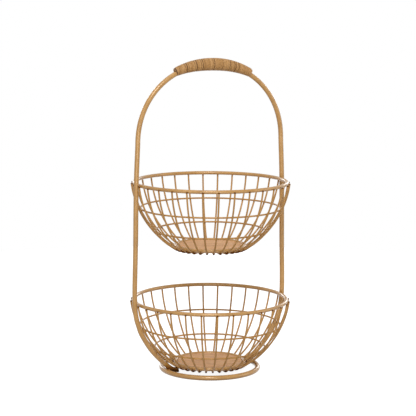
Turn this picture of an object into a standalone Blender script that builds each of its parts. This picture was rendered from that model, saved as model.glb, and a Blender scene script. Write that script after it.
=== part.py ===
"""Two-tier countertop basket, 508 mm high: two round wire bowls, one above the other, hung
between the uprights of one bent rod, whose crown is a cane-wound grip and whose legs stand on
a foot ring.  Metres, +Z up.  The origin is the middle of the foot ring on the ground, the bent
rod lies in the XZ plane, and every bowl turns about the Z axis."""
import math

import bmesh
import bpy
import numpy as np
from mathutils import Matrix, Vector

# Overall sizes
TOTAL_HEIGHT = 0.508          # ground to the top of the grip
TIER_SPACING = 0.1921         # lower rim to upper rim, middle to middle
GROUND_CLEARANCE = 0.0058     # ground to the underside of the lower bowl's wires
SEAT_GAP = 0.0003             # left between pieces that touch on the real basket

# Rods and wires
FRAME_ROD_DIAMETER = 0.008
FOOT_ROD_DIAMETER = 0.008
RIM_ROD_DIAMETER = 0.006
BASE_ROD_DIAMETER = 0.006
RIB_WIRE_DIAMETER = 0.0028
HOOP_WIRE_DIAMETER = 0.0028

# Rings
UPPER_RIM_RADIUS = 0.123      # all ring radii run to the middle of the rod
LOWER_RIM_RADIUS = 0.1242
BASE_RING_RADIUS = 0.0562

# Bowl wires
RIB_COUNT = 32                # ribs of one bowl; two neighbours are one bent wire
BASE_RING_DEPTH = 0.1035      # middle of the rim to the middle of the base ring
RIB_TOP_LEAN = math.radians(7.1)      # a rib's first lean inward, where it leaves the rim
UPPER_RIB_PHASE = math.radians(2.2)   # the first rib stands this far round from the frame
LOWER_RIB_PHASE = math.radians(1.7)
HOOP_DEPTH_SHARES = (0.402, 0.758)    # of the base ring's depth
RIB_FOOT_LENGTH = 0.020       # level stretch of a rib under the disc, before its turn

# Base disc
DISC_THICKNESS = 0.0052
DISC_EDGE_ROUND = 0.0006

# Frame
SPRING_ABOVE_RIM = 0.0653     # upper rim to the spring of the arch
ARCH_DRAW_IN = 0.0027         # the arch is this much narrower, each side, than the uprights
ARCH_FULLNESS = 2.1           # of its superellipse: 2 is an ellipse, more is fuller
LEG_RIB_GAP = 0.0005          # between a leg and the rib that it runs along
LEG_LEAVE_ANGLE = math.radians(47.9)  # round the ribs' arc, where a leg runs straight on
LEG_BEND_RADIUS = 0.010       # last bend of a leg, to the level
LEG_TOE_LENGTH = 0.0008       # level end of a leg, inside the foot ring

# Grip
GRIP_LENGTH = 0.137           # along the arch
GRIP_ASIDE = 0.004            # the grip's middle stands this far along the arch from the crown
GRIP_MIDDLE_DIAMETER = 0.0204
GRIP_END_DIAMETER = 0.0138
CANE_THICKNESS = 0.0009
CANE_TURNS = 24
CANE_TURN_GAP = 0.0006        # between one turn of the cane and the next
CANE_MARGIN = 0.0012          # bare core beyond the winding, at each end
GRIP_CUTTER_OVERRUN = 0.004

# Fineness of the mesh
ROD_BEVEL_RESOLUTION = 2
WIRE_BEVEL_RESOLUTION = 1
RIM_SEGMENTS = 64
FOOT_SEGMENTS = 48
RING_SIDES = 8
THIN_RING_SIDES = 6
CANE_POINTS = 18              # on one turn
CORE_RINGS = 14
ARCH_STEPS = 16               # on each half of the arch
WALK_STEPS = 400              # to measure lengths along half of the arch

frame_rod = FRAME_ROD_DIAMETER / 2
foot_rod = FOOT_ROD_DIAMETER / 2
rim_rod = RIM_ROD_DIAMETER / 2
base_rod = BASE_ROD_DIAMETER / 2
rib_wire = RIB_WIRE_DIAMETER / 2
hoop_wire = HOOP_WIRE_DIAMETER / 2
half_pitch = math.pi / RIB_COUNT
foot_ring_height = foot_rod * math.cos(math.pi / RING_SIDES)


class Bowl:
    """The section of one bowl: r runs out from the Z axis, depth down from the rim's middle."""

    def __init__(self, name, rim_radius, rib_phase):
        self.name = name
        self.rim_radius = rim_radius
        self.rib_phase = rib_phase
        self.rib_inside = self.arc_from_rim_to_base()
        across, down = math.cos(RIB_TOP_LEAN), math.sin(RIB_TOP_LEAN)
        self.arc_r = rim_radius + (rim_rod + SEAT_GAP - self.rib_inside) * across
        self.arc_depth = (rim_rod + SEAT_GAP - self.rib_inside) * down
        self.rib_arc = self.rib_inside + rib_wire
        self.hoop_arc = self.rib_inside - SEAT_GAP - hoop_wire
        self.base_angle = math.atan2(BASE_RING_DEPTH - self.arc_depth, BASE_RING_RADIUS - self.arc_r)
        self.disc_radius = BASE_RING_RADIUS - base_rod - SEAT_GAP
        base_r, base_depth = self.on_arc(self.rib_arc, self.base_angle)
        foot_bend = (base_r - self.disc_radius) / math.cos(self.base_angle)
        self.foot_depth = base_depth + foot_bend * (1 - math.sin(self.base_angle))
        self.disc_bottom_depth = self.foot_depth - rib_wire - SEAT_GAP
        self.underside_depth = self.foot_depth + rib_wire

    def arc_from_rim_to_base(self):
        """Radius of the arc of the ribs' inner side, which leaves the rim's outer side with the
        lean and then runs on to rest against the base ring."""
        across, down = math.cos(RIB_TOP_LEAN), math.sin(RIB_TOP_LEAN)
        inward = self.rim_radius + (rim_rod + SEAT_GAP) * across - BASE_RING_RADIUS
        below = BASE_RING_DEPTH - (rim_rod + SEAT_GAP) * down
        clear = base_rod + SEAT_GAP
        reach = inward * across - below * down - clear
        return (inward ** 2 + below ** 2 - clear ** 2) / (2 * reach)

    def on_arc(self, radius, angle):
        """r and depth of a point on an arc about the ribs' own centre, angle below the level."""
        return self.arc_r + radius * math.cos(angle), self.arc_depth + radius * math.sin(angle)

    def hoop_angle(self, share):
        return math.asin((share * BASE_RING_DEPTH - self.arc_depth) / self.hoop_arc)

    def rib_profile(self):
        """Middle line of a rib from the rim to its level foot, with a point at each hoop."""
        hoops = [self.hoop_angle(share) for share in HOOP_DEPTH_SHARES]
        marks = [RIB_TOP_LEAN] + hoops + [self.base_angle]
        angles = marks[:2]
        for start, end in zip(marks[1:], marks[2:]):
            angles += [(start + end) / 2, end]
        profile = [self.on_arc(self.rib_arc, angle) for angle in angles]
        profile.append((self.disc_radius, self.foot_depth))
        return profile

    def seat_of_upright(self):
        """Least distance from the Z axis at which the bent rod clears the rim and the nearest rib."""
        rib_r = self.on_arc(self.rib_arc, RIB_TOP_LEAN)[0]
        reach = frame_rod + rib_wire + SEAT_GAP
        aside = rib_r * math.sin(self.rib_phase)
        past_rib = rib_r + math.sqrt(max(reach ** 2 - aside ** 2, 0))
        return max(self.rim_radius + rim_rod + SEAT_GAP + frame_rod, past_rib)


upper = Bowl("upper", UPPER_RIM_RADIUS, UPPER_RIB_PHASE)
lower = Bowl("lower", LOWER_RIM_RADIUS, LOWER_RIB_PHASE)
lower.rim_height = GROUND_CLEARANCE + lower.underside_depth
upper.rim_height = lower.rim_height + TIER_SPACING


def principled(name, colour, roughness, metallic):
    material = bpy.data.materials.new(name)
    material.use_nodes = True
    shader = material.node_tree.nodes["Principled BSDF"]
    shader.inputs["Base Color"].default_value = (*colour, 1.0)
    shader.inputs["Roughness"].default_value = roughness
    shader.inputs["Metallic"].default_value = metallic
    return material


def place(name, data, material):
    """A named object for the sub-part, with a material of its own."""
    piece = bpy.data.objects.new(name, data)
    bpy.context.collection.objects.link(piece)
    data.materials.append(material)
    return piece


def gold_paint(name):
    return principled(name + "_paint", (0.46, 0.27, 0.11), 0.38, 0.75)


def rod(name, points, radius, resolution, material, radii=None):
    """A round bar along the points, with flat ends."""
    curve = bpy.data.curves.new(name, "CURVE")
    curve.dimensions = "3D"
    curve.bevel_depth = radius
    curve.bevel_resolution = resolution
    curve.use_fill_caps = True
    spline = curve.splines.new("POLY")
    spline.points.add(len(points) - 1)
    for index, (point, target) in enumerate(zip(points, spline.points)):
        target.co = (*point, 1.0)
        target.radius = radii[index] / radius if radii else 1.0
    return place(name, curve, material)


def ring(name, radius, height, bar, sides, segments, material, turned=0.0):
    """A closed round bar about the Z axis; its section has a flat facet underneath."""
    mesh = bpy.data.meshes.new(name)
    work = bmesh.new()
    corners = []
    for index in range(sides):
        angle = 2 * math.pi * (index + 0.5) / sides - math.pi / 2
        corners.append(work.verts.new((radius + bar * math.cos(angle), 0, bar * math.sin(angle))))
    edges = [work.edges.new(pair) for pair in zip(corners, corners[1:] + corners[:1])]
    bmesh.ops.rotate(work, verts=work.verts, matrix=Matrix.Rotation(turned, 3, "Z"))
    bmesh.ops.spin(work, geom=edges, cent=(0, 0, 0), axis=(0, 0, 1), dvec=(0, 0, 0),
                   angle=2 * math.pi, steps=segments, use_merge=True, use_duplicate=False)
    bmesh.ops.remove_doubles(work, verts=work.verts, dist=bar / segments)
    bmesh.ops.recalc_face_normals(work, faces=work.faces)
    work.to_mesh(mesh)
    work.free()
    mesh.shade_smooth()
    piece = place(name, mesh, material)
    piece.location.z = height
    return piece


def smooth_route(points, steps):
    """A smooth curve through the points, with this many steps between two of them."""
    padded = [2 * points[0] - points[1]] + points + [2 * points[-1] - points[-2]]
    route = []
    for a, b, c, d in zip(padded, padded[1:], padded[2:], padded[3:]):
        for step in range(steps):
            t = step / steps
            route.append(0.5 * ((2 * b) + (c - a) * t + (2 * a - 5 * b + 4 * c - d) * t ** 2
                                + (3 * b - 3 * c + d - a) * t ** 3))
    return route + [points[-1]]


# The bent rod

crown_height = TOTAL_HEIGHT - GRIP_MIDDLE_DIAMETER / 2
spring_height = upper.rim_height + SPRING_ABOVE_RIM
arch_half_width = upper.seat_of_upright() - ARCH_DRAW_IN
arch_rise = crown_height - spring_height


def arch_share(value):
    """A cosine or sine turned into the share of the arch's half width or rise there."""
    return math.copysign(abs(value) ** (2 / ARCH_FULLNESS), value)


def arch_point(angle):
    """Middle of the rod on the arch, half a superellipse; the crown is at a quarter turn."""
    return Vector((arch_half_width * arch_share(math.cos(angle)), 0,
                   spring_height + arch_rise * arch_share(math.sin(angle))))


def arch_outward(angle):
    """Square to the rod there, pointing away from the basket."""
    across, up = arch_share(math.cos(angle)), arch_share(math.sin(angle))
    steep = ARCH_FULLNESS - 1
    normal = Vector((math.copysign(abs(across) ** steep, across) / arch_half_width, 0,
                     up ** steep / arch_rise))
    return normal.normalized()


walk_turns = [math.pi / 2 * step / WALK_STEPS for step in range(WALK_STEPS + 1)]
walk_lengths = [0.0]
for here, there in zip(walk_turns, walk_turns[1:]):
    stride = arch_point(math.pi / 2 - there) - arch_point(math.pi / 2 - here)
    walk_lengths.append(walk_lengths[-1] + stride.length)


def arch_angle(along):
    """Angle of the arch's point that lies this far along it from the crown, towards +X."""
    turn = float(np.interp(abs(along), walk_lengths, walk_turns))
    return math.pi / 2 - math.copysign(turn, along)


leg_arc = lower.rib_arc + rib_wire + LEG_RIB_GAP + frame_rod
past_ring = leg_arc + frame_rod + foot_rod + SEAT_GAP
ring_depth = lower.rim_height - foot_ring_height - lower.arc_depth
leg_run = (ring_depth - past_ring * math.sin(LEG_LEAVE_ANGLE)) / math.cos(LEG_LEAVE_ANGLE)
foot_ring_radius = (lower.arc_r + past_ring * math.cos(LEG_LEAVE_ANGLE)
                    - leg_run * math.sin(LEG_LEAVE_ANGLE))


def leg_points():
    """From the lower rim down beside the ribs, over the inner side of the foot ring, to the toe."""
    rim_angle = math.asin(-lower.arc_depth / leg_arc)
    hugging_shares = (0.35, 0.55, 0.78, 1.0)
    straight_share = 0.5
    bend_shares = (0.0, 0.5, 1.0)
    points = []
    for share in hugging_shares:
        r, depth = lower.on_arc(leg_arc, rim_angle + share * (LEG_LEAVE_ANGLE - rim_angle))
        points.append(Vector((r, 0, lower.rim_height - depth)))
    down = Vector((-math.sin(LEG_LEAVE_ANGLE), 0, -math.cos(LEG_LEAVE_ANGLE)))
    at_ring = points[-1] + leg_run * down
    points += [points[-1] + straight_share * leg_run * down, at_ring]
    toe_height = frame_rod + SEAT_GAP
    steepness = math.pi / 2 - LEG_LEAVE_ANGLE
    bend_height = toe_height + LEG_BEND_RADIUS * (1 - math.cos(steepness))
    bend_x = at_ring.x - (at_ring.z - bend_height) / math.tan(steepness)
    for share in bend_shares:
        left = steepness * (1 - share)
        points.append(Vector((bend_x - LEG_BEND_RADIUS * (math.sin(steepness) - math.sin(left)), 0,
                              toe_height + LEG_BEND_RADIUS * (1 - math.cos(left)))))
    points.append(points[-1] - Vector((LEG_TOE_LENGTH, 0, 0)))
    return points


def frame_half():
    """Middle line of the right half of the bent rod, crown first."""
    arch = [arch_point(math.pi / 2 * (1 - step / ARCH_STEPS)) for step in range(ARCH_STEPS + 1)]
    upper_seat = Vector((upper.seat_of_upright(), 0, upper.rim_height))
    lower_seat = Vector((lower.seat_of_upright(), 0, lower.rim_height))
    between_share = 0.5
    middle = upper_seat.lerp(lower_seat, between_share)
    side = [arch[-1], upper_seat, middle, lower_seat]
    return arch[:-1] + smooth_route(side + leg_points(), 2)


def build_frame_rod():
    right = frame_half()
    left = [Vector((-point.x, 0, point.z)) for point in right[:0:-1]]
    rod("frame_rod", left + right, frame_rod, ROD_BEVEL_RESOLUTION, gold_paint("frame_rod"))


def build_foot_ring():
    ring("foot_ring", foot_ring_radius, foot_ring_height, foot_rod, RING_SIDES, FOOT_SEGMENTS,
         gold_paint("foot_ring"))


# The bowls

def rib_pair_points(bowl, middle):
    """Two neighbouring ribs, bent from one wire with a round turn under the base disc."""
    profile = bowl.rib_profile()
    turn_r = bowl.disc_radius - RIB_FOOT_LENGTH
    profile.append((turn_r, bowl.foot_depth))
    height = bowl.rim_height

    def at(r, angle, depth):
        return Vector((r * math.cos(angle), r * math.sin(angle), height - depth))

    down = [at(r, middle - half_pitch, depth) for r, depth in profile]
    up = [at(r, middle + half_pitch, depth) for r, depth in reversed(profile)]
    turn_middle = at(turn_r / math.cos(half_pitch), middle, bowl.foot_depth)
    turn_radius = turn_r * math.tan(half_pitch)
    half_turn = math.pi / 2 - half_pitch
    turn_shares = (-1 / 3, 1 / 3)
    turn = []
    for share in turn_shares:
        angle = middle + math.pi - share * half_turn
        turn.append(turn_middle + turn_radius * Vector((math.cos(angle), math.sin(angle), 0)))
    return down + turn + up


def build_rib_pairs(bowl):
    for index in range(RIB_COUNT // 2):
        middle = bowl.rib_phase + (4 * index + 1) * half_pitch
        name = "%s_rib_pair_%02d" % (bowl.name, index + 1)
        rod(name, rib_pair_points(bowl, middle), rib_wire, WIRE_BEVEL_RESOLUTION, gold_paint(name))


def build_bowl_rings(bowl):
    name = bowl.name + "_rim"
    ring(name, bowl.rim_radius, bowl.rim_height, rim_rod, RING_SIDES, RIM_SEGMENTS,
         gold_paint(name), bowl.rib_phase)
    for index, share in enumerate(HOOP_DEPTH_SHARES):
        name = "%s_hoop_%d" % (bowl.name, index + 1)
        hoop_r, hoop_depth = bowl.on_arc(bowl.hoop_arc, bowl.hoop_angle(share))
        ring(name, hoop_r, bowl.rim_height - hoop_depth, hoop_wire, THIN_RING_SIDES, RIB_COUNT,
             gold_paint(name), bowl.rib_phase)
    name = bowl.name + "_base_ring"
    ring(name, BASE_RING_RADIUS, bowl.rim_height - BASE_RING_DEPTH, base_rod, RING_SIDES,
         RIB_COUNT, gold_paint(name), bowl.rib_phase)


def build_disc(bowl):
    """The wooden floor of the bowl, resting on the ribs' feet inside the base ring."""
    name = bowl.name + "_base_disc"
    mesh = bpy.data.meshes.new(name)
    work = bmesh.new()
    bmesh.ops.create_cone(work, cap_ends=True, segments=RIB_COUNT, radius1=bowl.disc_radius,
                          radius2=bowl.disc_radius, depth=DISC_THICKNESS)
    work.to_mesh(mesh)
    work.free()
    piece = place(name, mesh, principled(name + "_wood", (0.52, 0.30, 0.17), 0.6, 0.0))
    piece.rotation_euler.z = bowl.rib_phase
    piece.location.z = bowl.rim_height - bowl.disc_bottom_depth + DISC_THICKNESS / 2
    edge = piece.modifiers.new("edge", "BEVEL")
    edge.width = DISC_EDGE_ROUND
    edge.segments = 1
    edge.limit_method = "ANGLE"
    edge.angle_limit = math.radians(60)


# The grip

def grip_radius(share):
    """Outer radius of the winding; share runs from -1 to 1 along the grip."""
    ends, middle = GRIP_END_DIAMETER / 2, GRIP_MIDDLE_DIAMETER / 2
    return ends + (middle - ends) * math.cos(math.pi / 2 * share)


def core_radius(share):
    return grip_radius(share) - CANE_THICKNESS - SEAT_GAP


def along_grip(share):
    return arch_point(arch_angle(GRIP_ASIDE + share * GRIP_LENGTH / 2))


def build_grip_core():
    """A spindle-shaped sleeve on the rod, open at both ends."""
    shares = [2 * index / CORE_RINGS - 1 for index in range(CORE_RINGS + 1)]
    points = [along_grip(share) for share in shares]
    radii = [core_radius(share) for share in shares]
    core = rod("grip_core", points, GRIP_MIDDLE_DIAMETER / 2, ROD_BEVEL_RESOLUTION + 1,
               principled("grip_core_wood", (0.36, 0.22, 0.11), 0.7, 0.0), radii)
    overrun = 1 + GRIP_CUTTER_OVERRUN / GRIP_LENGTH
    bore_sides = 2 * (ROD_BEVEL_RESOLUTION + 2)
    bore = (frame_rod + SEAT_GAP) / math.cos(math.pi / bore_sides)
    cutter = rod("grip_bore", [along_grip(share * overrun) for share in shares], bore,
                 ROD_BEVEL_RESOLUTION, gold_paint("grip_bore"))
    cutter.hide_render = True
    cutter.display_type = "WIRE"
    for piece in (core, cutter):
        as_mesh(piece)
    hole = bpy.data.objects["grip_core"].modifiers.new("bore", "BOOLEAN")
    hole.operation = "DIFFERENCE"
    hole.object = bpy.data.objects["grip_bore"]


def as_mesh(piece):
    """Replace a curve object by its mesh, under the same name."""
    name, material = piece.name, piece.data.materials[0]
    hidden, display = piece.hide_render, piece.display_type
    graph = bpy.context.evaluated_depsgraph_get()
    mesh = bpy.data.meshes.new_from_object(piece.evaluated_get(graph))
    bpy.data.objects.remove(piece)
    work = bmesh.new()
    work.from_mesh(mesh)
    bmesh.ops.remove_doubles(work, verts=work.verts, dist=SEAT_GAP / 10)
    bmesh.ops.recalc_face_normals(work, faces=work.faces)
    work.to_mesh(mesh)
    work.free()
    mesh.name = name
    mesh.materials.clear()
    piece = place(name, mesh, material)
    piece.hide_render = hidden
    piece.display_type = display


def cane_section(turns):
    """Four corners of the cane strip, this many turns along it from the first end."""
    share = 2 * turns / CANE_TURNS - 1
    around = 2 * math.pi * turns
    cane_half = GRIP_LENGTH / 2 - CANE_MARGIN
    pitch = (2 * cane_half + CANE_TURN_GAP) / (CANE_TURNS + 1)
    half_width = (pitch - CANE_TURN_GAP) / 2
    middle = share * (cane_half - half_width)
    lift = (core_radius(0) + SEAT_GAP) / math.cos(math.pi / CANE_POINTS) - core_radius(0)
    corners = []
    for side, top in ((-1, 0), (1, 0), (1, 1), (-1, 1)):
        along = middle + side * half_width
        angle = arch_angle(GRIP_ASIDE + along)
        radius = core_radius(along / (GRIP_LENGTH / 2)) + lift + top * CANE_THICKNESS
        outward = math.cos(around) * arch_outward(angle) + math.sin(around) * Vector((0, 1, 0))
        corners.append(arch_point(angle) + radius * outward)
    return corners


def build_cane_wrap():
    """One flat strip of cane wound round the core from end to end."""
    count = CANE_TURNS * CANE_POINTS
    sections = [cane_section(index / CANE_POINTS) for index in range(count + 1)]
    work = bmesh.new()
    rows = [[work.verts.new(corner) for corner in section] for section in sections]
    for row, following in zip(rows, rows[1:]):
        for side in range(4):
            after = (side + 1) % 4
            work.faces.new((row[side], row[after], following[after], following[side]))
    work.faces.new(rows[0])
    work.faces.new(rows[-1])
    bmesh.ops.recalc_face_normals(work, faces=work.faces)
    mesh = bpy.data.meshes.new("cane_wrap")
    work.to_mesh(mesh)
    work.free()
    place("cane_wrap", mesh, principled("cane_wrap_cane", (0.45, 0.27, 0.12), 0.55, 0.0))
    gaps = [(corner - other).length
            for here, there in zip(sections, sections[CANE_POINTS:])
            for corner in here[1:3] for other in (there[0], there[3])]
    print("least gap of the cane strip to itself: %.2f mm" % (min(gaps) * 1000))


def main():
    for piece in list(bpy.data.objects):
        bpy.data.objects.remove(piece)
    build_frame_rod()
    build_foot_ring()
    for bowl in (upper, lower):
        build_bowl_rings(bowl)
        build_disc(bowl)
        build_rib_pairs(bowl)
    build_grip_core()
    build_cane_wrap()


main()
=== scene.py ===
"""Looks of the two-tier wire basket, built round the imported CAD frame.

Every visible piece but the weld beads is a finer form of the CAD piece that it replaces, in the
same place: rods and wires are truly round, and the grip is wound with narrow cane.
Metres, +Z up.  The bent rod lies in the XZ plane and every bowl turns about the Z axis."""

import math
import random

import bmesh
import bpy
import numpy as np
from mathutils import Matrix, Vector


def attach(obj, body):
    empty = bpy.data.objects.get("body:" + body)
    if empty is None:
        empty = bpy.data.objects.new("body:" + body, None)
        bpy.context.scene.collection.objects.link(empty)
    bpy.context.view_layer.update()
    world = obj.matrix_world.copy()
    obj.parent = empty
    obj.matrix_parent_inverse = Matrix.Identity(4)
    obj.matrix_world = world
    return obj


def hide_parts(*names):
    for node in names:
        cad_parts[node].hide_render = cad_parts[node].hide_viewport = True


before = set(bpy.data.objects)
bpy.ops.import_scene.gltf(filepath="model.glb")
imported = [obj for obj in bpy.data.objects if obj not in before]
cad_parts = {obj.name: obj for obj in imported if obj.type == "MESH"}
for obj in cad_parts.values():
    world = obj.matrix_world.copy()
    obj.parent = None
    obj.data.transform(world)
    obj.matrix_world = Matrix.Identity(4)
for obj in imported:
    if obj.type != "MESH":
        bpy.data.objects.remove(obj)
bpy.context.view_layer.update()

MM = 0.001

# The camera, from the photograph
VIEW_YAW = math.radians(26.09)        # round the basket, from square on to the bent rod
VIEW_PITCH = math.radians(8.267)      # looking down
VIEW_ROLL = math.radians(0.30)
VIEW_DISTANCE = 2525.5 * MM
VIEW_HEIGHT = 633.0 * MM
VIEW_ASIDE = 3.97 * MM                # the basket stands this far right of the picture's middle
LENS_PIXELS = 1579.2
PHOTO_PIXELS = 416
SENSOR_WIDTH = 36.0                   # in mm, as the lens is

# Sizes, the same as the CAD's
TOTAL_HEIGHT = 508.0 * MM
TIER_SPACING = 192.1 * MM
GROUND_CLEARANCE = 5.8 * MM           # under the feet of the lower bowl's ribs
SEAT_GAP = 0.3 * MM
UPPER_RIM_RADIUS = 123.0 * MM
LOWER_RIM_RADIUS = 124.2 * MM
FRAME_ROD = 4.0 * MM                  # rods and wires by their radius
FOOT_ROD = 4.0 * MM
FOOT_ROD_HEIGHT = 3.7 * MM            # middle of the CAD's foot ring, which stands on a flat
RIM_ROD = 3.0 * MM
BASE_ROD = 3.0 * MM
RIB_WIRE = 1.4 * MM
HOOP_WIRE = 1.4 * MM
BASE_RING_RADIUS = 56.2 * MM
BASE_RING_DEPTH = 103.5 * MM
RIB_COUNT = 32
UPPER_RIB_PHASE = math.radians(2.2)   # the first rib, from the upright at +X
LOWER_RIB_PHASE = math.radians(1.7)
RIB_TOP_LEAN = math.radians(7.1)
RIB_FOOT_LENGTH = 20.0 * MM           # level stretch of a rib under the disc, before its turn
HOOP_DEPTH_SHARES = (0.402, 0.758)    # of the depth from the rim to the base ring
DISC_THICKNESS = 5.2 * MM
SPRING_ABOVE_RIM = 65.3 * MM          # from the upper rim to where the arch begins
ARCH_DRAW_IN = 2.7 * MM               # narrower than the uprights by this on each side
ARCH_FULLNESS = 2.1                   # power of the superellipse; 2 would be an ellipse
LEG_RIB_GAP = 0.5 * MM
LEG_LEAVE_ANGLE = math.radians(47.9)  # round the ribs' arc, where a leg runs straight on
LEG_ARC_SHARES = (0.35, 0.55, 0.78, 1.0)      # points of the leg, from rim to leave angle
GRIP_ASIDE = 4.0 * MM                 # the grip's middle from the crown, towards +X
GRIP_MIDDLE = 10.2 * MM               # its radius in the middle and at the ends
GRIP_END = 6.9 * MM

# Sizes that differ a little from the CAD's, or that only the looks have
LEG_TOE_LENGTH = 1.5 * MM
GRIP_LENGTH = 136.0 * MM
DISC_EDGE_ROUND = 1.1 * MM
DARK_TIP = 1.7 * MM                   # dark length at a rib's cut top: bare steel, with painted shade where it meets the rim
TOE_SHADE_HEIGHT = 14.0 * MM          # painted shade darkens the leg from here down to the toe
FOOT_SHADE_HEIGHT = 5.0 * MM          # painted shade darkens the foot ring from here down
RIB_WELD = 0.8 * MM                   # half length of a bead on a rib
RIB_WELD_SPREAD = 0.25                # the largest is longer by this share
RIB_WELD_SHAPE = (1.0, 0.9, 0.7)      # half length, width and height
WELD_ASIDE = 0.75                     # a bead stands aside by this share of the bar's radius
FOOT_WELD = (3.2 * MM, 1.6 * MM, 1.3 * MM)
FOOT_WELD_ANGLE = math.radians(3.5)   # to each side of the leg
FOOT_WELD_HEIGHT = 1.7 * FOOT_ROD
CORE_BORE = FRAME_ROD + 0.2 * MM
BORE_DROP = 1.5 * MM                  # at the ends the bore lies this much below the sleeve's middle
GRIP_LIFT = 2.7 * MM                  # the ends of the sleeve stand this much proud of the rod
CANE_TURNS = 52
CANE_THICKNESS = 0.9 * MM
CANE_GAP = 0.12 * MM
CANE_MARGIN = 0.6 * MM                # bare core at each end
CANE_WIDTH_SPREAD = 0.16              # between the narrowest turn and the widest
CANE_SWAY = 0.25 * MM                 # how far a turn wanders along the grip
# wider gaps between two turns, seen on the front: after which turn, and how wide
WIDE_GAPS = ((6, 1.3 * MM), (7, 0.7 * MM), (12, 1.9 * MM), (16, 1.3 * MM), (17, 0.8 * MM),
             (24, 1.5 * MM), (30, 0.7 * MM), (35, 1.2 * MM), (36, 0.7 * MM), (39, 1.3 * MM),
             (41, 1.0 * MM))
# the strip's section: places across and up, as shares of half its width and of its thickness
CANE_SECTION = ((-1.0, -0.25), (-1.0, 0.45), (-0.72, 0.86), (0.0, 1.0), (0.72, 0.86), (1.0, 0.45),
                (1.0, -0.25))
TAIL_SHARE = 0.22                     # place of the tucked tail, from the middle to the right end
TAIL_BEAD = (3.2 * MM, 2.1 * MM, 1.1 * MM)

# How finely round forms are drawn
ROD_SIDES = 24
RING_SIDES = 20
WIRE_SIDES = 12
FOOT_RING_STEPS = 144
RIM_STEPS = 192
HOOP_STEPS = 160
BASE_RING_STEPS = 128
ARC_STEPS = 30                        # along a rib's long arc
BEND_STEPS = 6                        # round its bend under the base ring
TURN_STEPS = 8                        # round the turn that joins it to the next rib
ARCH_STEPS = 48                       # from the crown to where the arch begins
ROUTE_STEPS = 8                       # between two points of the frame's side
WALK_STEPS = 400                      # for lengths along the arch
DISC_SIDES = 128
DISC_EDGE_STEPS = 5
CORE_SIDES = 36
CORE_STEPS = 40
CANE_TURN_STEPS = 30
BEAD_RINGS = 5
BEAD_SIDES = 8
END_CHAMFER = 0.25                    # of a bar's radius
SHARP_ANGLE = math.radians(38)

HALF_PITCH = math.pi / RIB_COUNT
UP = Vector((0, 0, 1))
BACK = Vector((0, 1, 0))


def at(radius, angle, height):
    return Vector((radius * math.cos(angle), radius * math.sin(angle), height))


def circle(radius, height, count):
    return [at(radius, 2 * math.pi * index / count, height) for index in range(count)]


# Section of a bowl

class Bowl:
    """The section of one bowl: r runs out from the Z axis, depth down from the rim's middle."""

    def __init__(self, name, rim_radius, rib_phase):
        self.name = name
        self.rim_radius = rim_radius
        self.rib_phase = rib_phase
        # the ribs' inner side leaves the rim at its lean and runs just outside the base ring
        seat = RIM_ROD + SEAT_GAP
        across, down = math.cos(RIB_TOP_LEAN), math.sin(RIB_TOP_LEAN)
        inward = rim_radius + seat * across - BASE_RING_RADIUS
        below = BASE_RING_DEPTH - seat * down
        clear = BASE_ROD + SEAT_GAP
        inside = ((inward ** 2 + below ** 2 - clear ** 2)
                  / (2 * (inward * across - below * down - clear)))
        self.arc_r = rim_radius + (seat - inside) * across
        self.arc_depth = (seat - inside) * down
        self.rib_arc = inside + RIB_WIRE
        self.hoop_arc = inside - SEAT_GAP - HOOP_WIRE
        self.base_angle = math.atan2(BASE_RING_DEPTH - self.arc_depth, BASE_RING_RADIUS - self.arc_r)
        self.disc_radius = BASE_RING_RADIUS - BASE_ROD - SEAT_GAP
        base_r, base_depth = self.on_arc(self.rib_arc, self.base_angle)
        self.foot_bend = (base_r - self.disc_radius) / math.cos(self.base_angle)
        self.foot_depth = base_depth + self.foot_bend * (1 - math.sin(self.base_angle))
        self.disc_bottom_depth = self.foot_depth - RIB_WIRE - SEAT_GAP

    def on_arc(self, radius, angle):
        return self.arc_r + radius * math.cos(angle), self.arc_depth + radius * math.sin(angle)

    def hoop_angle(self, share):
        return math.asin((share * BASE_RING_DEPTH - self.arc_depth) / self.hoop_arc)

    def rib_profile(self):
        """Middle line of a rib: the long arc, the bend under the base ring, the level foot."""
        below_tip = RIB_TOP_LEAN + DARK_TIP / self.rib_arc
        profile = [self.on_arc(self.rib_arc, RIB_TOP_LEAN)]
        for step in range(ARC_STEPS + 1):
            share = step / ARC_STEPS
            profile.append(self.on_arc(self.rib_arc, below_tip + share * (self.base_angle - below_tip)))
        base_r, base_depth = profile[-1]
        slope = math.pi / 2 - self.base_angle
        for step in range(1, BEND_STEPS + 1):
            left = slope * (1 - step / BEND_STEPS)
            profile.append((base_r - self.foot_bend * (math.sin(slope) - math.sin(left)),
                            base_depth + self.foot_bend * (math.cos(left) - math.cos(slope))))
        return profile + [(self.disc_radius - RIB_FOOT_LENGTH, self.foot_depth)]

    def seat_of_upright(self):
        """Middle of the upright beside the rim, clear of the rim and of the rib next to it."""
        rib_r = self.on_arc(self.rib_arc, RIB_TOP_LEAN)[0]
        reach = FRAME_ROD + RIB_WIRE + SEAT_GAP
        aside = rib_r * math.sin(self.rib_phase)
        past_rib = rib_r + math.sqrt(max(reach ** 2 - aside ** 2, 0))
        return max(self.rim_radius + RIM_ROD + SEAT_GAP + FRAME_ROD, past_rib)


upper = Bowl("upper", UPPER_RIM_RADIUS, UPPER_RIB_PHASE)
lower = Bowl("lower", LOWER_RIM_RADIUS, LOWER_RIB_PHASE)
lower.rim_height = GROUND_CLEARANCE + lower.foot_depth + RIB_WIRE
upper.rim_height = lower.rim_height + TIER_SPACING


# Nodes and materials

def srgb(code):
    """Linear red, green, blue and alpha of an sRGB hex colour."""
    linear = []
    for start in (1, 3, 5):
        value = int(code[start:start + 2], 16) / 255
        linear.append(value / 12.92 if value <= 0.04045 else ((value + 0.055) / 1.055) ** 2.4)
    return (*linear, 1.0)


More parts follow.
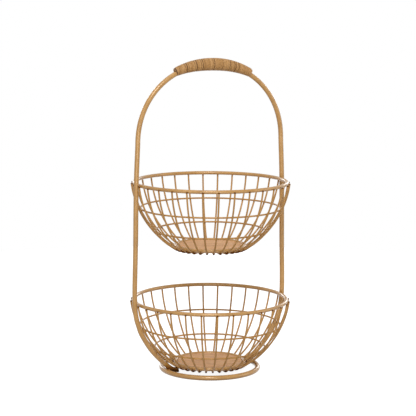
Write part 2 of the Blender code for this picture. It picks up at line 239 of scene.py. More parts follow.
def set_inputs(tree, node, inputs):
    """Gives each named input a plain value, or the socket that feeds it."""
    for name, value in inputs.items():
        if isinstance(value, bpy.types.NodeSocket):
            tree.links.new(value, node.inputs[name])
        else:
            node.inputs[name].default_value = value


def add_node(tree, kind, settings=None, inputs=None, steps=()):
    """A node with its settings and inputs; steps are a ramp's positions and hex colours."""
    node = tree.nodes.new(kind)
    for name, value in (settings or {}).items():
        setattr(node, name, value)
    set_inputs(tree, node, inputs or {})
    if steps:
        elements = node.color_ramp.elements
        while len(elements) < len(steps):
            elements.new(0.5)
        for element, (position, code) in zip(elements, steps):
            element.position = position
            element.color = srgb(code)
    return node


def new_material(name):
    """Returns a material, its tree, its shader and the place on the object for its patterns."""
    material = bpy.data.materials.new(name)
    material.use_nodes = True
    tree = material.node_tree
    place = add_node(tree, "ShaderNodeTexCoord").outputs["Object"]
    return material, tree, tree.nodes["Principled BSDF"], place


def per_metre(size_mm):
    """Texture scale at which one feature measures size_mm."""
    return 1000.0 / size_mm


def gold_painted_steel(name, tans, gloss, clear, shade_below=None):
    """Mild steel sprayed with a satin gold paint: a diffuse warm tan under a clear binder that
    gives soft, nearly white highlights, with a trace of metal flake, slightly uneven where the
    paint lies thicker, and a faint orange-peel skin.  Below a given height the colour darkens
    to brown towards the ground: painted shade."""
    material, tree, shader, place = new_material(name)
    patches = add_node(tree, "ShaderNodeTexNoise", inputs={
        "Vector": place, "Scale": per_metre(26), "Detail": 3.0, "Roughness": 0.6}).outputs["Fac"]
    colour = add_node(tree, "ShaderNodeValToRGB", inputs={"Fac": patches},
                      steps=list(zip((0.30, 0.50, 0.72), tans))).outputs["Color"]
    # painted shade: towards the ground the gold is mixed with a dark brown
    if shade_below:
        height = add_node(tree, "ShaderNodeSeparateXYZ", inputs={"Vector": place}).outputs["Z"]
        shade_fade = add_node(tree, "ShaderNodeMapRange", inputs={
            "Value": height, "From Max": shade_below, "To Min": 0.75, "To Max": 0.0})
        colour = add_node(tree, "ShaderNodeMix", {"data_type": "RGBA"}, {
            "Factor": shade_fade.outputs["Result"], "A": colour, "B": srgb("#7A5226")}).outputs["Result"]
    satin = add_node(tree, "ShaderNodeMapRange", inputs={
        "Value": patches, "From Min": 0.3, "From Max": 0.7, "To Min": 0.20, "To Max": 0.30})
    peel = add_node(tree, "ShaderNodeTexNoise", inputs={
        "Vector": place, "Scale": per_metre(3.0), "Detail": 1.0})
    bump = add_node(tree, "ShaderNodeBump", inputs={
        "Height": peel.outputs["Fac"], "Strength": 0.006, "Distance": 0.1 * MM})
    set_inputs(tree, shader, {
        "Base Color": colour, "Roughness": satin.outputs["Result"], "Normal": bump.outputs["Normal"],
        "Metallic": 0.06, "IOR": 1.5, "Specular IOR Level": gloss, "Coat Weight": clear,
        "Coat Roughness": 0.27})
    return material


def cut_steel_and_painted_shade():
    """Dark brown, dull steel: bare on the sheared ends, and painted shade on the ribs' bends
    underneath.
    """
    material, tree, shader, place = new_material("cut_steel_and_painted_shade")
    grains = add_node(tree, "ShaderNodeTexNoise", inputs={
        "Vector": place, "Scale": per_metre(1.2), "Detail": 2.0})
    colour = add_node(tree, "ShaderNodeValToRGB", inputs={"Fac": grains.outputs["Fac"]},
                      steps=[(0.35, "#5C3208"), (0.65, "#7C4A12")])
    set_inputs(tree, shader, {
        "Base Color": colour.outputs["Color"], "Roughness": 0.8, "IOR": 1.5,
        "Specular IOR Level": 0.05})
    return material


def toe_painted_shade():
    """Painted shade on the leg's toe under the basket: gold above, darkening to brown towards the
    ground, dark brown steel at the cut end, with a ragged edge between gold and shade."""
    material, tree, shader, place = new_material("gold_fading_to_painted_shade")
    height = add_node(tree, "ShaderNodeSeparateXYZ", inputs={"Vector": place}).outputs["Z"]
    grains = add_node(tree, "ShaderNodeTexNoise", inputs={
        "Vector": place, "Scale": per_metre(3.0), "Detail": 2.0})
    ragged = add_node(tree, "ShaderNodeMath", {"operation": "MULTIPLY_ADD"}, {
        0: grains.outputs["Fac"], 1: 4.0 * MM, 2: height})
    fade = add_node(tree, "ShaderNodeMapRange", inputs={
        "Value": ragged.outputs["Value"], "From Min": 8.0 * MM,
        "From Max": FRAME_ROD + TOE_SHADE_HEIGHT})
    # painted shade: gold fading to dark brown near the ground
    colour = add_node(tree, "ShaderNodeValToRGB", inputs={"Fac": fade.outputs["Result"]},
                      steps=[(0.0, "#5A3612"), (0.5, "#8A5822"), (1.0, "#B98B4A")])
    set_inputs(tree, shader, {
        "Base Color": colour.outputs["Color"], "Roughness": 0.7, "IOR": 1.5,
        "Specular IOR Level": 0.1})
    return material


def disc_wood():
    """Sanded, oiled light hardwood: pinkish tan, with fine straight grain and short dark pores
    along one direction, which in the photograph lies level."""
    material, tree, shader, place = new_material("disc_wood")
    turned = add_node(tree, "ShaderNodeMapping", inputs={
        "Vector": place, "Rotation": (0, 0, VIEW_YAW)}).outputs["Vector"]
    # grain of 5 mm, drawn out 12 times along the wood, and pores, drawn out 25 times; real
    # pores of 0.2 mm wouldn't show, so they are 0.8 mm wide
    long_grain = add_node(tree, "ShaderNodeMapping", inputs={
        "Vector": turned, "Scale": (1 / 12, 1, 1 / 3)})
    grain = add_node(tree, "ShaderNodeTexNoise", inputs={
        "Vector": long_grain.outputs["Vector"], "Scale": per_metre(5.0), "Detail": 5.0,
        "Roughness": 0.62, "Distortion": 0.25}).outputs["Fac"]
    long_pores = add_node(tree, "ShaderNodeMapping", inputs={
        "Vector": turned, "Scale": (1 / 25, 1, 1)})
    pores = add_node(tree, "ShaderNodeTexNoise", inputs={
        "Vector": long_pores.outputs["Vector"], "Scale": per_metre(0.8), "Detail": 2.0}).outputs["Fac"]
    tan = add_node(tree, "ShaderNodeValToRGB", inputs={"Fac": grain},
                   steps=[(0.28, "#C68F58"), (0.48, "#DDA770"), (0.70, "#EFBD89")])
    dark = add_node(tree, "ShaderNodeMapRange", inputs={
        "Value": pores, "From Min": 0.53, "From Max": 0.68, "To Min": 0.0, "To Max": 0.7})
    colour = add_node(tree, "ShaderNodeMix", {"data_type": "RGBA"}, {
        "Factor": dark.outputs["Result"], "A": tan.outputs["Color"], "B": srgb("#84532A")})
    rough = add_node(tree, "ShaderNodeMapRange", inputs={
        "Value": grain, "To Min": 0.5, "To Max": 0.66})
    bump = add_node(tree, "ShaderNodeBump", inputs={
        "Height": pores, "Strength": 0.35, "Distance": 0.15 * MM})
    set_inputs(tree, shader, {
        "Base Color": colour.outputs["Result"], "Roughness": rough.outputs["Result"],
        "Normal": bump.outputs["Normal"], "IOR": 1.5})
    return material


def rattan_cane():
    """Peeled rattan cane with its smooth outer skin up: warm brown, half glossy, with fine fibres
    that run along the strip, and turns that differ a little in colour."""
    material, tree, shader, place = new_material("rattan_cane")
    # the strip runs round the X axis: its fibres are drawn out 45 times along it, and 0.7 mm
    # wide, because real ones of 0.2 mm wouldn't show
    along_strip = add_node(tree, "ShaderNodeMapping", inputs={
        "Vector": place, "Scale": (1, 1 / 45, 1 / 45)})
    fibres = add_node(tree, "ShaderNodeTexNoise", inputs={
        "Vector": along_strip.outputs["Vector"], "Scale": per_metre(0.7), "Detail": 3.0,
        "Roughness": 0.6}).outputs["Fac"]
    # patches of 6 mm, about two turns, drawn out 40 times round the grip
    round_grip = add_node(tree, "ShaderNodeMapping", inputs={
        "Vector": place, "Scale": (1, 1 / 40, 1 / 40)})
    turns = add_node(tree, "ShaderNodeTexNoise", inputs={
        "Vector": round_grip.outputs["Vector"], "Scale": per_metre(6.0), "Detail": 2.0})
    brown = add_node(tree, "ShaderNodeValToRGB", inputs={"Fac": turns.outputs["Fac"]},
                     steps=[(0.34, "#A3763E"), (0.50, "#B4874F"), (0.66, "#C59962")])
    dark = add_node(tree, "ShaderNodeMapRange", inputs={
        "Value": fibres, "From Min": 0.42, "From Max": 0.72, "To Min": 0.0, "To Max": 0.5})
    colour = add_node(tree, "ShaderNodeMix", {"data_type": "RGBA"}, {
        "Factor": dark.outputs["Result"], "A": brown.outputs["Color"], "B": srgb("#8E602E")})
    rough = add_node(tree, "ShaderNodeMapRange", inputs={
        "Value": fibres, "To Min": 0.42, "To Max": 0.6})
    bump = add_node(tree, "ShaderNodeBump", inputs={
        "Height": fibres, "Strength": 0.4, "Distance": 0.1 * MM})
    set_inputs(tree, shader, {
        "Base Color": colour.outputs["Result"], "Roughness": rough.outputs["Result"],
        "Normal": bump.outputs["Normal"], "IOR": 1.5})
    return material


def core_wood(name, dark, light):
    """Turned softwood under the cane, dull, with faint grain along the grip: darkened where the
    gaps show it, as painted shade, and pale on the end grain."""
    material, tree, shader, place = new_material(name)
    along = add_node(tree, "ShaderNodeMapping", inputs={"Vector": place, "Scale": (1 / 10, 1, 1)})
    grain = add_node(tree, "ShaderNodeTexNoise", inputs={
        "Vector": along.outputs["Vector"], "Scale": per_metre(1.5), "Detail": 3.0})
    colour = add_node(tree, "ShaderNodeValToRGB", inputs={"Fac": grain.outputs["Fac"]},
                      steps=[(0.3, dark), (0.7, light)])
    set_inputs(tree, shader, {"Base Color": colour.outputs["Color"], "Roughness": 0.75, "IOR": 1.5})
    return material


ROD_TANS = ("#B0834A", "#B98C50", "#C19458")
WIRE_TANS = ("#AF8147", "#B88A4E", "#C19357")

gold = gold_painted_steel("gold_painted_steel", ROD_TANS, gloss=0.28, clear=0.4)
# the foot ring's gold darkens towards the ground: painted shade
foot_gold = gold_painted_steel("gold_painted_foot", ROD_TANS, gloss=0.28, clear=0.4,
                               shade_below=FOOT_SHADE_HEIGHT)
# the thin wires take a thinner coat of the paint, with less gloss
wire_gold = gold_painted_steel("gold_painted_wire", WIRE_TANS, gloss=0.14, clear=0.08)
# dark brown for the ribs' cut ends, and painted shade on their bends under the bowls
cut_steel_and_shade = cut_steel_and_painted_shade()
toe_shade_paint = toe_painted_shade()
wood = disc_wood()
cane = rattan_cane()
# the core darkened as painted shade for the gaps between the cane's turns
core_painted_shade = core_wood("core_wood", "#3F230D", "#5E3A1A")
end_grain = core_wood("core_end_grain", "#A67A50", "#C39A70")


# Making meshes

class Piece:
    """Gathers closed bodies and makes one object of them."""

    def __init__(self):
        self.corners = []
        self.faces = []
        self.slots = []

    def face(self, corners, slot=0):
        self.faces.append(tuple(corners))
        self.slots.append(slot)

    def band(self, here, there, count, slot=0):
        """Joins two rows of corners, each a closed loop of count, by four-sided faces."""
        for index in range(count):
            after = (index + 1) % count
            self.face((here + index, here + after, there + after, there + index), slot)

    def sweep(self, path, radius, sides, closed=False, first_side=(0, 0, 1), end_slot=0,
              slot_at=None):
        """A round bar along the path.  An open bar gets flat ends with a small chamfer.  slot_at
        gives the material of each step of the path, and end_slot that of the end faces."""
        path = np.array([tuple(point) for point in path])
        if closed:
            ahead = np.roll(path, -1, axis=0) - np.roll(path, 1, axis=0)
        else:
            ahead = np.gradient(path, axis=0)
        ahead /= np.linalg.norm(ahead, axis=1)[:, None]
        side = np.array(first_side, dtype=float)
        rings = []
        for point, forward in zip(path, ahead):
            side = side - forward * (side @ forward)
            side = side / np.linalg.norm(side)
            rings.append((point, side, np.cross(forward, side), radius))
        if not closed:
            cut = END_CHAMFER * radius
            head, tail = rings[0], rings[-1]
            rings = ([head[:3] + (radius - cut,), (head[0] + ahead[0] * cut,) + head[1:]]
                     + rings[1:-1]
                     + [(tail[0] - ahead[-1] * cut,) + tail[1:], tail[:3] + (radius - cut,)])
        start = len(self.corners)
        for point, side, across, ring_radius in rings:
            for index in range(sides):
                angle = 2 * math.pi * index / sides
                self.corners.append(tuple(point + ring_radius * (math.cos(angle) * side
                                                                 + math.sin(angle) * across)))
        count = len(rings)
        for row in range(count if closed else count - 1):
            step = min(max(row - 1, 0), len(path) - 2)
            self.band(start + row * sides, start + (row + 1) % count * sides, sides,
                      slot_at(step) if slot_at else 0)
        if not closed:
            self.face([start + index for index in range(sides)][::-1], end_slot)
            self.face([start + (count - 1) * sides + index for index in range(sides)], end_slot)

    def bead(self, middle, along, outward, size):
        """A small egg-shaped bead; size is its half length, half width and half height."""
        across = along.cross(outward).normalized()
        start = len(self.corners)
        self.corners.append(tuple(middle + along * size[0]))
        for row in range(1, BEAD_RINGS):
            polar = math.pi * row / BEAD_RINGS
            for index in range(BEAD_SIDES):
                angle = 2 * math.pi * index / BEAD_SIDES
                self.corners.append(tuple(middle + along * size[0] * math.cos(polar)
                                          + across * size[1] * math.sin(polar) * math.cos(angle)
                                          + outward * size[2] * math.sin(polar) * math.sin(angle)))
        self.corners.append(tuple(middle - along * size[0]))
        first_row = start + 1
        last_row = first_row + (BEAD_RINGS - 2) * BEAD_SIDES
        last = len(self.corners) - 1
        for row in range(BEAD_RINGS - 2):
            here = first_row + row * BEAD_SIDES
            self.band(here, here + BEAD_SIDES, BEAD_SIDES)
        for index in range(BEAD_SIDES):
            after = (index + 1) % BEAD_SIDES
            self.face((start, first_row + index, first_row + after))
            self.face((last_row + index, last, last_row + after))

    def make(self, name, materials, replaced):
        mesh = bpy.data.meshes.new(name)
        mesh.from_pydata(self.corners, [], self.faces)
        for material in materials:
            mesh.materials.append(material)
        mesh.polygons.foreach_set("material_index", self.slots)
        work = bmesh.new()
        work.from_mesh(mesh)
        bmesh.ops.recalc_face_normals(work, faces=work.faces)
        work.to_mesh(mesh)
        work.free()
        mesh.shade_smooth()
        mesh.set_sharp_from_angle(angle=SHARP_ANGLE)
        piece = bpy.data.objects.new(name, mesh)
        bpy.context.collection.objects.link(piece)
        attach(piece, "root")
        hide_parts(*replaced)


# The bent rod

crown_height = TOTAL_HEIGHT - GRIP_MIDDLE
spring_height = upper.rim_height + SPRING_ABOVE_RIM
arch_half_width = upper.seat_of_upright() - ARCH_DRAW_IN
arch_rise = crown_height - spring_height


def arch_share(value):
    return math.copysign(abs(value) ** (2 / ARCH_FULLNESS), value)


def arch_point(angle):
    """Middle of the rod on the arch, half a superellipse; the crown is at a quarter turn."""
    return Vector((arch_half_width * arch_share(math.cos(angle)), 0,
                   spring_height + arch_rise * arch_share(math.sin(angle))))


def arch_outward(angle):
    across, up = arch_share(math.cos(angle)), arch_share(math.sin(angle))
    steep = ARCH_FULLNESS - 1
    return Vector((math.copysign(abs(across) ** steep, across) / arch_half_width, 0,
                   up ** steep / arch_rise)).normalized()


walk_turns = [math.pi / 2 * step / WALK_STEPS for step in range(WALK_STEPS + 1)]
walk_lengths = [0.0]
for here, there in zip(walk_turns, walk_turns[1:]):
    stride = arch_point(math.pi / 2 - there) - arch_point(math.pi / 2 - here)
    walk_lengths.append(walk_lengths[-1] + stride.length)


def arch_angle(along):
    """Angle of the arch's point that lies this far along it from the crown, towards +X."""
    turn = float(np.interp(abs(along), walk_lengths, walk_turns))
    return math.pi / 2 - math.copysign(turn, along)


def smooth_route(points):
    """A smooth curve through the points, each stretch a cubic led by its neighbours."""
    padded = [2 * points[0] - points[1]] + points + [2 * points[-1] - points[-2]]
    route = []
    for a, b, c, d in zip(padded, padded[1:], padded[2:], padded[3:]):
        for step in range(ROUTE_STEPS):
            t = step / ROUTE_STEPS
            route.append(0.5 * ((2 * b) + (c - a) * t + (2 * a - 5 * b + 4 * c - d) * t ** 2
                                + (3 * b - 3 * c + d - a) * t ** 3))
    return route + [points[-1]]


leg_arc = lower.rib_arc + RIB_WIRE + LEG_RIB_GAP + FRAME_ROD
past_ring = leg_arc + FRAME_ROD + FOOT_ROD + SEAT_GAP
ring_depth = lower.rim_height - FOOT_ROD_HEIGHT - lower.arc_depth
leg_run = (ring_depth - past_ring * math.sin(LEG_LEAVE_ANGLE)) / math.cos(LEG_LEAVE_ANGLE)
foot_ring_radius = (lower.arc_r + past_ring * math.cos(LEG_LEAVE_ANGLE)
                    - leg_run * math.sin(LEG_LEAVE_ANGLE))


def leg_points():
    """Down the lower bowl's curve, straight on past the foot ring, and level along the toe."""
    rim_angle = math.asin(-lower.arc_depth / leg_arc)
    points = []
    for share in LEG_ARC_SHARES:
        r, depth = lower.on_arc(leg_arc, rim_angle + share * (LEG_LEAVE_ANGLE - rim_angle))
        points.append(Vector((r, 0, lower.rim_height - depth)))
    down = Vector((-math.sin(LEG_LEAVE_ANGLE), 0, -math.cos(LEG_LEAVE_ANGLE)))
    at_ring = points[-1] + leg_run * down
    points += [points[-1] + 0.5 * leg_run * down, at_ring]
    toe_height = FRAME_ROD + SEAT_GAP
    steepness = math.pi / 2 - LEG_LEAVE_ANGLE
    bend = (at_ring.z - toe_height) / (1 - math.cos(steepness))
    for share in (0.5, 1.0):
        left = steepness * (1 - share)
        points.append(Vector((at_ring.x - bend * (math.sin(steepness) - math.sin(left)), 0,
                              toe_height + bend * (1 - math.cos(left)))))
    points.append(points[-1] - Vector((LEG_TOE_LENGTH, 0, 0)))
    return points


def make_frame_rod():
    arch = [arch_point(math.pi / 2 * (1 - step / ARCH_STEPS)) for step in range(ARCH_STEPS + 1)]
    upper_seat = Vector((upper.seat_of_upright(), 0, upper.rim_height))
    lower_seat = Vector((lower.seat_of_upright(), 0, lower.rim_height))
    side = [arch[-1], upper_seat, upper_seat.lerp(lower_seat, 0.5), lower_seat]
    right = arch[:-1] + smooth_route(side + leg_points())
    left = [Vector((-point.x, 0, point.z)) for point in right[:0:-1]]
    route = left + right
    # steps of the rod below this height take the toe's painted shade
    toe_top = FRAME_ROD + TOE_SHADE_HEIGHT

    def toe_slot(step):
        return 1 if max(route[step].z, route[step + 1].z) < toe_top else 0

    rod = Piece()
    rod.sweep(route, FRAME_ROD, ROD_SIDES, first_side=BACK, end_slot=1, slot_at=toe_slot)
    rod.make("frame_rod_smooth", [gold, toe_shade_paint], ["frame_rod"])


def make_foot_ring():
    """The ring, with a bead to each side of either leg."""
    ring = Piece()
    ring.sweep(circle(foot_ring_radius, FOOT_ROD, FOOT_RING_STEPS), FOOT_ROD, ROD_SIDES, closed=True)
    for side in (0, math.pi):
        for aside in (-FOOT_WELD_ANGLE, FOOT_WELD_ANGLE):
            middle = at(foot_ring_radius - WELD_ASIDE * FOOT_ROD, side + aside, FOOT_WELD_HEIGHT)
            tangent = at(1, side + aside + math.pi / 2, 0)
            ring.bead(middle, tangent, UP, FOOT_WELD)
    ring.make("foot_ring_smooth", [foot_gold], ["foot_ring"])


# The two bowls

def make_ribs(bowl):
    """The ribs in pairs, each pair one wire with its turn under the disc."""
    ribs = Piece()
    profile = bowl.rib_profile()
    turn_r = profile[-1][0]
    turn_radius = turn_r * math.tan(HALF_PITCH)
    bend = range(ARC_STEPS, ARC_STEPS + BEND_STEPS + 1)
    last = 2 * len(profile) + TURN_STEPS - 3

    def tip_and_shade_slot(step):
        """Dark cut tips, partly painted shade where they meet the rim, and painted shade round the bend
        under the base ring.
        """
        return 1 if min(step, last - step) in bend or step in (0, last) else 0

    for index in range(RIB_COUNT // 2):
        middle = bowl.rib_phase + (4 * index + 1) * HALF_PITCH
        down = [at(r, middle - HALF_PITCH, bowl.rim_height - depth) for r, depth in profile]
        back = [at(r, middle + HALF_PITCH, bowl.rim_height - depth) for r, depth in reversed(profile)]
        centre = at(turn_r / math.cos(HALF_PITCH), middle, bowl.rim_height - bowl.foot_depth)
        turn = []
        for step in range(1, TURN_STEPS):
            share = 1 - 2 * step / TURN_STEPS
            turn.append(centre + at(turn_radius,
                                    middle + math.pi - share * (math.pi / 2 - HALF_PITCH), 0))
        ribs.sweep(down + turn + back, RIB_WIRE, WIRE_SIDES, first_side=at(1, middle + math.pi / 2, 0),
                   end_slot=1, slot_at=tip_and_shade_slot)
    nodes = ["%s_rib_pair_%02d" % (bowl.name, index + 1) for index in range(RIB_COUNT // 2)]
    ribs.make(bowl.name + "_ribs", [wire_gold, cut_steel_and_shade], nodes)


def make_rings(bowl):
    name = bowl.name
    rim = Piece()
    rim.sweep(circle(bowl.rim_radius, bowl.rim_height, RIM_STEPS), RIM_ROD, RING_SIDES, closed=True)
    rim.make(name + "_rim_smooth", [gold], [name + "_rim"])
    for index, share in enumerate(HOOP_DEPTH_SHARES):
        r, depth = bowl.on_arc(bowl.hoop_arc, bowl.hoop_angle(share))
        hoop = Piece()
        hoop.sweep(circle(r, bowl.rim_height - depth, HOOP_STEPS), HOOP_WIRE, WIRE_SIDES, closed=True)
        hoop.make("%s_hoop_%d_smooth" % (name, index + 1), [wire_gold],
                  ["%s_hoop_%d" % (name, index + 1)])
    base = Piece()
    base.sweep(circle(BASE_RING_RADIUS, bowl.rim_height - BASE_RING_DEPTH, BASE_RING_STEPS), BASE_ROD,
               RING_SIDES, closed=True)
    base.make(name + "_base_ring_smooth", [gold], [name + "_base_ring"])


def make_welds(bowl):
    """Two small beads where each rib crosses the hoops and the base ring."""
    welds = Piece()
    chance = random.Random(7 if bowl is upper else 11)
    spots = [bowl.hoop_angle(share) for share in HOOP_DEPTH_SHARES] + [bowl.base_angle]
    for index in range(RIB_COUNT):
        turn = bowl.rib_phase + 2 * index * HALF_PITCH
        tangent = at(1, turn + math.pi / 2, 0)
        for angle in spots:
            r, depth = bowl.on_arc(bowl.rib_arc - RIB_WIRE - SEAT_GAP / 2, angle)
            outward = at(math.cos(angle), turn, -math.sin(angle))
            half = RIB_WELD * (1.0 + RIB_WELD_SPREAD * chance.random())
            for side in (-1, 1):
                middle = at(r, turn, bowl.rim_height - depth) + tangent * (side * WELD_ASIDE * RIB_WIRE)
                welds.bead(middle, tangent, outward, [share * half for share in RIB_WELD_SHAPE])
    welds.make(bowl.name + "_welds", [wire_gold], [])


def make_disc(bowl):
    """The wooden floor: a turned disc with rounded edges."""
    disc = Piece()
    bottom = bowl.rim_height - bowl.disc_bottom_depth
    top = bottom + DISC_THICKNESS
    top_edge = []
    for step in range(DISC_EDGE_STEPS + 1):
        angle = math.pi / 2 * step / DISC_EDGE_STEPS
        top_edge.append((bowl.disc_radius - DISC_EDGE_ROUND * (1 - math.cos(angle)),
                         top - DISC_EDGE_ROUND * (1 - math.sin(angle))))
    outline = [(r, bottom + top - z) for r, z in reversed(top_edge)] + top_edge
    for r, z in outline:
        disc.corners += [tuple(point) for point in circle(r, z, DISC_SIDES)]
    last_row = (len(outline) - 1) * DISC_SIDES
    for here in range(0, last_row, DISC_SIDES):
        disc.band(here, here + DISC_SIDES, DISC_SIDES)
    disc.face(list(range(DISC_SIDES))[::-1])
    disc.face([last_row + index for index in range(DISC_SIDES)])
    disc.make(bowl.name + "_base_disc_wood", [wood], [bowl.name + "_base_disc"])


# The grip

def grip_radius(share):
    return GRIP_END + (GRIP_MIDDLE - GRIP_END) * math.cos(math.pi / 2 * share)


def grip_middle(share):
    """Middle line of the sleeve, share -1 to 1 from the left end to the right one."""
    angle = arch_angle(GRIP_ASIDE + share * GRIP_LENGTH / 2)
    return arch_point(angle) + arch_outward(angle) * GRIP_LIFT * share ** 2


def grip_frame(share):
    """The sleeve's middle, the way along it and the way outward, there."""
    step = 0.01
    forward = (grip_middle(share + step) - grip_middle(share - step)).normalized()
    outward = Vector((-forward.z, 0, forward.x))
    return grip_middle(share), forward, outward


def make_grip_core():
    """A spindle-shaped sleeve, open at both ends for the rod: darkened under the cane as painted
    shade for the gaps, and pale on its end faces and on the margin that the cane leaves bare at the
    right end."""
    core = Piece()
    shares = [2 * step / CORE_STEPS - 1 for step in range(CORE_STEPS + 1)]
    rows = [(share, grip_radius(share) - CANE_THICKNESS) for share in shares]
    rows += [(share, CORE_BORE) for share in reversed(shares)]
    for row, (share, radius) in enumerate(rows):
        middle, _, outward = grip_frame(share)
        if row > CORE_STEPS:
            middle = middle - outward * BORE_DROP * share ** 2
        for index in range(CORE_SIDES):
            angle = 2 * math.pi * index / CORE_SIDES
            core.corners.append(tuple(middle + radius * (math.cos(angle) * outward
                                                         + math.sin(angle) * BACK)))
    pale_rows = (CORE_STEPS - 1, CORE_STEPS, len(rows) - 1)
    for row in range(len(rows)):
        core.band(row * CORE_SIDES, (row + 1) % len(rows) * CORE_SIDES, CORE_SIDES,
                  1 if row in pale_rows else 0)
    core.make("grip_core_sleeve", [core_painted_shade, end_grain], ["grip_core"])


def cane_edges():
    """Where each turn of the strip starts and ends along the grip, in metres from the middle."""
    chance = random.Random(5)
    widths = [1.0 + CANE_WIDTH_SPREAD * (chance.random() - 0.5) for _ in range(CANE_TURNS + 1)]
    gaps = [CANE_GAP * (0.7 + 0.6 * chance.random()) for _ in range(CANE_TURNS)]
    for turn, wide in WIDE_GAPS:
        gaps[turn] = wide
    length = GRIP_LENGTH - 2 * CANE_MARGIN
    unit = (length - sum(gaps)) / sum(widths)
    edges, place = [], -length / 2
    for width, gap in zip(widths, gaps + [0]):
        edges.append((place, place + unit * width))
        place += unit * width + gap
    return edges


def make_cane_wrap():
    """The cane strip, one closed band wound from end to end, crowned across its width, with its
    tucked tail as a small lump on the front near the middle."""
    wrap = Piece()
    edges = cane_edges()
    chance = random.Random(3)
    sway = [CANE_SWAY * (chance.random() - 0.5) for _ in range(CANE_TURNS + 2)]
    count = CANE_TURNS * CANE_TURN_STEPS
    for index in range(count + 1):
        turns = index / CANE_TURN_STEPS
        low = min(int(turns), CANE_TURNS - 1)
        t = turns - low
        start = edges[low][0] + (edges[low + 1][0] - edges[low][0]) * t
        end = edges[low][1] + (edges[low + 1][1] - edges[low][1]) * t
        drift = sway[low] + (sway[low + 1] - sway[low]) * t
        # the sway fades out at both ends, and each turn begins on the underside
        drift *= 1 - abs(2 * turns / CANE_TURNS - 1) ** 6
        around = 2 * math.pi * turns + math.pi
        for across, height in CANE_SECTION:
            place = (start + end) / 2 + across * (end - start) / 2 + drift
            share = place / (GRIP_LENGTH / 2)
            middle, _, outward = grip_frame(share)
            radius = grip_radius(share) - CANE_THICKNESS * (1 - height)
            direction = math.cos(around) * outward + math.sin(around) * BACK
            wrap.corners.append(tuple(middle + radius * direction))
    size = len(CANE_SECTION)
    for row in range(count):
        wrap.band(row * size, (row + 1) * size, size)
    wrap.face(list(range(size))[::-1])
    wrap.face([count * size + index for index in range(size)])
    # the tail faces up and to the front, and slants up to the right
    middle, forward, outward = grip_frame(TAIL_SHARE)
    front = (outward * 0.55 - BACK * 0.83).normalized()
    wrap.bead(middle + front * (grip_radius(TAIL_SHARE) + 0.1 * MM),
              (forward * 0.8 + UP * 0.5).normalized(), front, TAIL_BEAD)
    wrap.make("cane_winding", [cane], ["cane_wrap"])


make_frame_rod()
make_foot_ring()
for bowl in (upper, lower):
    make_rings(bowl)
    make_ribs(bowl)
    make_welds(bowl)
    make_disc(bowl)
make_grip_core()
make_cane_wrap()


# Camera

def make_camera():
    across, along = math.cos(VIEW_YAW), math.sin(VIEW_YAW)
    level = math.cos(VIEW_PITCH)
    forward = Vector((along * level, across * level, -math.sin(VIEW_PITCH)))
    data = bpy.data.cameras.new("photo_view")
    data.sensor_width = SENSOR_WIDTH
    data.lens = LENS_PIXELS * SENSOR_WIDTH / PHOTO_PIXELS
    data.clip_start, data.clip_end = 0.1, 50.0
    camera = bpy.data.objects.new("photo_view", data)
    camera.location = (-VIEW_ASIDE * across - VIEW_DISTANCE * along,
                       VIEW_ASIDE * along - VIEW_DISTANCE * across, VIEW_HEIGHT)
    camera.rotation_mode = "QUATERNION"
    turn = forward.to_track_quat("-Z", "Y").to_matrix() @ Matrix.Rotation(VIEW_ROLL, 3, "Z")
    camera.rotation_quaternion = turn.to_quaternion()
    bpy.context.collection.objects.link(camera)
    bpy.context.scene.camera = camera


make_camera()


# Floor, backdrop and light

FLOOR_RADIUS = 1.2
FLOOR_SIDES = 96
FLOOR_LIFT = 0.90                     # what the camera sees on top of the lit floor; 1 is white
WORLD_LIGHT = 0.28
BASKET_MIDDLE = Vector((0, 0, 0.25))


def seen_as_white(tree):
    """1 where a ray comes from the camera, a gloss or a transmission, otherwise 0."""
    rays = add_node(tree, "ShaderNodeLightPath").outputs
    either = add_node(tree, "ShaderNodeMath", {"operation": "MAXIMUM"}, {
        0: rays["Is Camera Ray"], 1: rays["Is Glossy Ray"]})
    any_of = add_node(tree, "ShaderNodeMath", {"operation": "MAXIMUM"}, {
        0: either.outputs["Value"], 1: rays["Is Transmission Ray"]})
    return any_of.outputs["Value"]


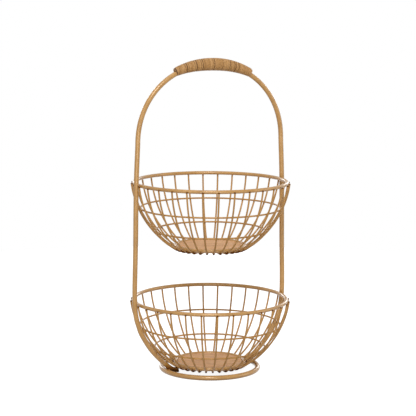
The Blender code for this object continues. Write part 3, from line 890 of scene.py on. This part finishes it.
def make_floor():
    """A plain matt sheet on the ground.  What the camera and glossy rays see of it is lifted to
    the photograph's white, and the shadow of the basket stays."""
    mesh = bpy.data.meshes.new("floor")
    edge = [tuple(point) for point in circle(FLOOR_RADIUS, 0, FLOOR_SIDES)]
    mesh.from_pydata(edge, [], [tuple(range(FLOOR_SIDES))])
    floor = bpy.data.objects.new("floor", mesh)
    bpy.context.collection.objects.link(floor)
    material, tree, shader, place = new_material("matt_white_paper")
    fibre = add_node(tree, "ShaderNodeTexNoise", inputs={
        "Vector": place, "Scale": per_metre(40), "Detail": 2.0})
    colour = add_node(tree, "ShaderNodeValToRGB", inputs={"Fac": fibre.outputs["Fac"]},
                      steps=[(0.3, "#A4A4A4"), (0.7, "#A8A8A8")])
    set_inputs(tree, shader, {"Base Color": colour.outputs["Color"], "Roughness": 0.9, "IOR": 1.5})
    lift = add_node(tree, "ShaderNodeMath", {"operation": "MULTIPLY"}, {
        0: seen_as_white(tree), 1: FLOOR_LIFT})
    glow = add_node(tree, "ShaderNodeEmission", inputs={
        "Color": (1, 1, 1, 1), "Strength": lift.outputs["Value"]})
    total = add_node(tree, "ShaderNodeAddShader", inputs={
        0: shader.outputs["BSDF"], 1: glow.outputs["Emission"]})
    set_inputs(tree, tree.nodes["Material Output"], {"Surface": total.outputs["Shader"]})
    mesh.materials.append(material)


def make_world():
    """White behind the basket; the light that it gives the basket is a soft grey."""
    world = bpy.data.worlds.new("studio")
    bpy.context.scene.world = world
    world.use_nodes = True
    tree = world.node_tree
    strength = add_node(tree, "ShaderNodeMapRange", inputs={
        "Value": seen_as_white(tree), "To Min": WORLD_LIGHT, "To Max": 1.0})
    set_inputs(tree, tree.nodes["Background"], {
        "Color": (1, 1, 1, 1), "Strength": strength.outputs["Result"]})


def make_lamp(name, place, size, power):
    """A white softbox at the place, turned to the middle of the basket."""
    data = bpy.data.lights.new(name, "AREA")
    data.shape = "RECTANGLE"
    data.size, data.size_y = size
    data.energy = power
    lamp = bpy.data.objects.new(name, data)
    lamp.location = place
    lamp.rotation_mode = "QUATERNION"
    lamp.rotation_quaternion = (BASKET_MIDDLE - Vector(place)).to_track_quat("-Z", "Y")
    bpy.context.collection.objects.link(lamp)


make_floor()
make_world()
# the key stands over the camera, 40 degrees up: it gives the white lines on rims and foot ring
make_lamp("key_softbox", (-1.0, -2.05, 2.2), (0.6, 0.4), 37.0)
make_lamp("low_front_softbox", (-1.2, -2.6, 0.3), (1.8, 0.5), 20.0)
make_lamp("left_softbox", (-2.3, -1.6, 1.2), (1.2, 1.2), 8.0)
make_lamp("right_softbox", (2.2, -1.3, 0.8), (1.2, 1.2), 13.0)
make_lamp("top_softbox", (-0.3, 0.2, 2.6), (1.8, 1.8), 12.0)
# two panels behind, just out of the picture, that whiten the rims where they turn away
make_lamp("back_right_panel", (2.40, 2.06, 0.9), (0.8, 0.8), 10.0)
make_lamp("back_left_panel", (0.15, 3.15, 0.9), (0.8, 0.8), 10.0)

bpy.context.scene.view_settings.view_transform = "Standard"
